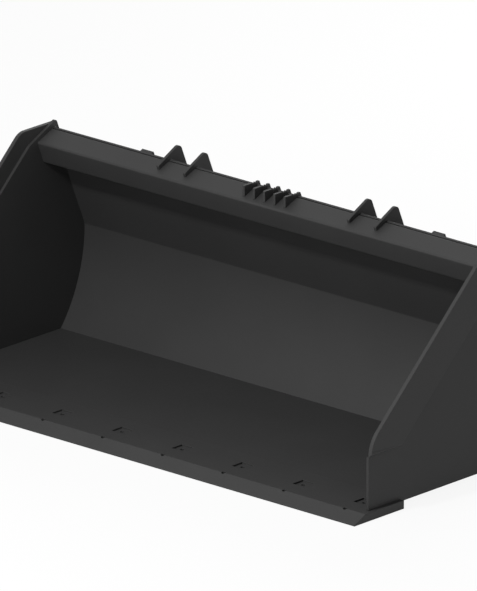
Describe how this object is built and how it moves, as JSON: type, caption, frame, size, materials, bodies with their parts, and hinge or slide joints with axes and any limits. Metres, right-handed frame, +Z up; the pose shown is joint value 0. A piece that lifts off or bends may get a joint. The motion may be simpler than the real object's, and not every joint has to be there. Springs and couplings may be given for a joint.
{
  "type": "low profile loader bucket",
  "caption": "Low, wide loader bucket with rolled back, sloped side plates, bolt-ready cutting edge, serrated foot step and quick-attach mount.",
  "frame": {"origin": "on the ground, in the middle of the width and of the depth", "axes": "+X to the right seen from the front of the bucket's mouth, +Y from the cutting edge back to the loader, +Z up"},
  "size_m": [1.829, 0.9922, 0.6975],
  "materials": {
    "shell_steel": "satin black paint",
    "wear_steel": "satin black paint"
  },
  "bodies": {
    "root": {"cutting_edge": "wear_steel", "floor_plate": "shell_steel", "back_sheet": "shell_steel", "top_tube": "shell_steel", "side_plate_left": "shell_steel", "side_plate_right": "shell_steel", "side_cutter_left": "wear_steel", "side_cutter_right": "wear_steel", "step_plate_1": "shell_steel", "step_plate_2": "shell_steel", "step_plate_3": "shell_steel", "step_plate_4": "shell_steel", "step_plate_5": "shell_steel", "gusset_1": "shell_steel", "gusset_2": "shell_steel", "gusset_3": "shell_steel", "gusset_4": "shell_steel", "mount_upright_left": "shell_steel", "mount_upright_right": "shell_steel", "mount_plate_left": "shell_steel", "mount_plate_right": "shell_steel", "wear_bar_1": "wear_steel", "wear_bar_2": "wear_steel", "wear_bar_3": "wear_steel", "wear_bar_4": "wear_steel"}
  },
  "joints": []
}
